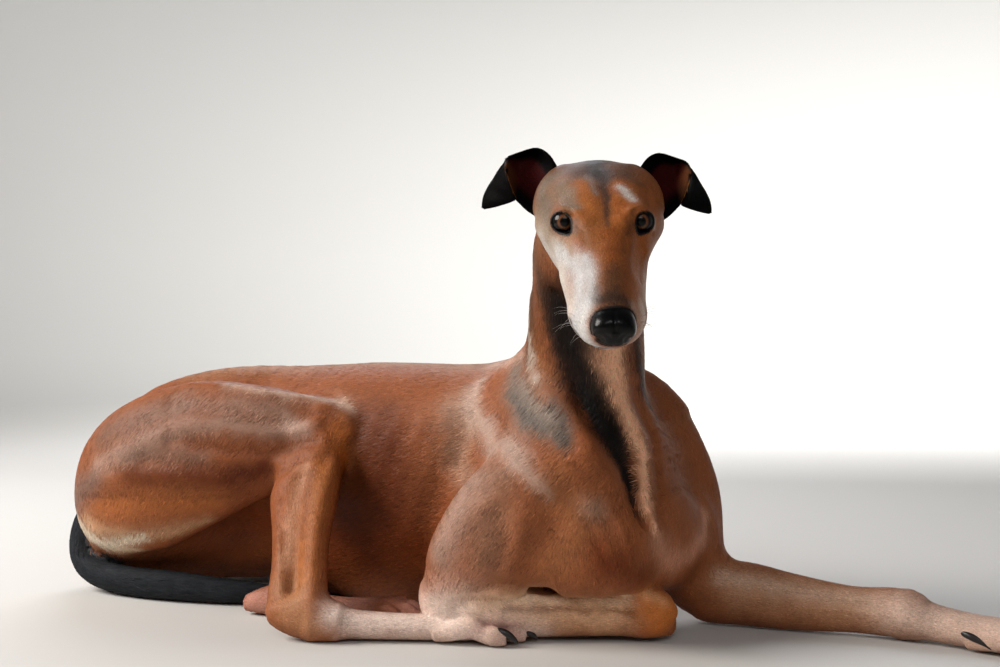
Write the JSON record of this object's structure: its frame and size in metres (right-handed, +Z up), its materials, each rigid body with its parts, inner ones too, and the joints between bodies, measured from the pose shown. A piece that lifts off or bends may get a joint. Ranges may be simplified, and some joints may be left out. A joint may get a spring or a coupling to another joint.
{
  "type": "greyhound lying down",
  "caption": "Slender short-coated sighthound lying with its head up and turned to the side, one foreleg folded and the other stretched forward.",
  "frame": {"origin": "middle of the flat under the brisket, on the floor plane", "axes": "+X from rump to outstretched forepaw, +Y to the dog's left, +Z up"},
  "size_m": [1.1364, 0.521, 0.4817],
  "materials": {
    "coat": "short, close-lying fawn hair, redder on the back and grey on the neck",
    "dark_coat": "short black hair on the ears and tail",
    "pale_coat": "very short cream hair over pink skin on the feet",
    "eye": "wet, dark brown iris under a clear cornea",
    "nose": "finely pebbled, moist black leather",
    "claw": "smooth black horn"
  },
  "bodies": {
    "root": {"eye_right": "eye", "eye_left": "eye", "nose": "nose", "head": "coat", "neck": "coat", "ear_right": "dark_coat", "ear_left": "dark_coat", "claw_front_left_1": "claw", "claw_front_left_2": "claw", "claw_front_left_3": "claw", "claw_front_left_4": "claw", "dewclaw_front_left": "claw", "claw_front_right_1": "claw", "claw_front_right_2": "claw", "claw_front_right_3": "claw", "claw_front_right_4": "claw", "dewclaw_front_right": "claw", "claw_hind_right_1": "claw", "claw_hind_right_2": "claw", "claw_hind_right_3": "claw", "claw_hind_right_4": "claw", "claw_hind_left_1": "claw", "claw_hind_left_2": "claw", "claw_hind_left_3": "claw", "claw_hind_left_4": "claw", "paw_front_left": "pale_coat", "forearm_left": "coat", "shoulder_left": "coat", "forearm_right": "coat", "shoulder_right": "coat", "paw_front_right": "pale_coat", "foot_right": "pale_coat", "shank_right": "coat", "thigh_right": "coat", "foot_left": "pale_coat", "shank_left": "coat", "thigh_left": "coat", "tail": "dark_coat", "chest": "coat", "loin": "coat", "croup": "coat"}
  },
  "joints": []
}
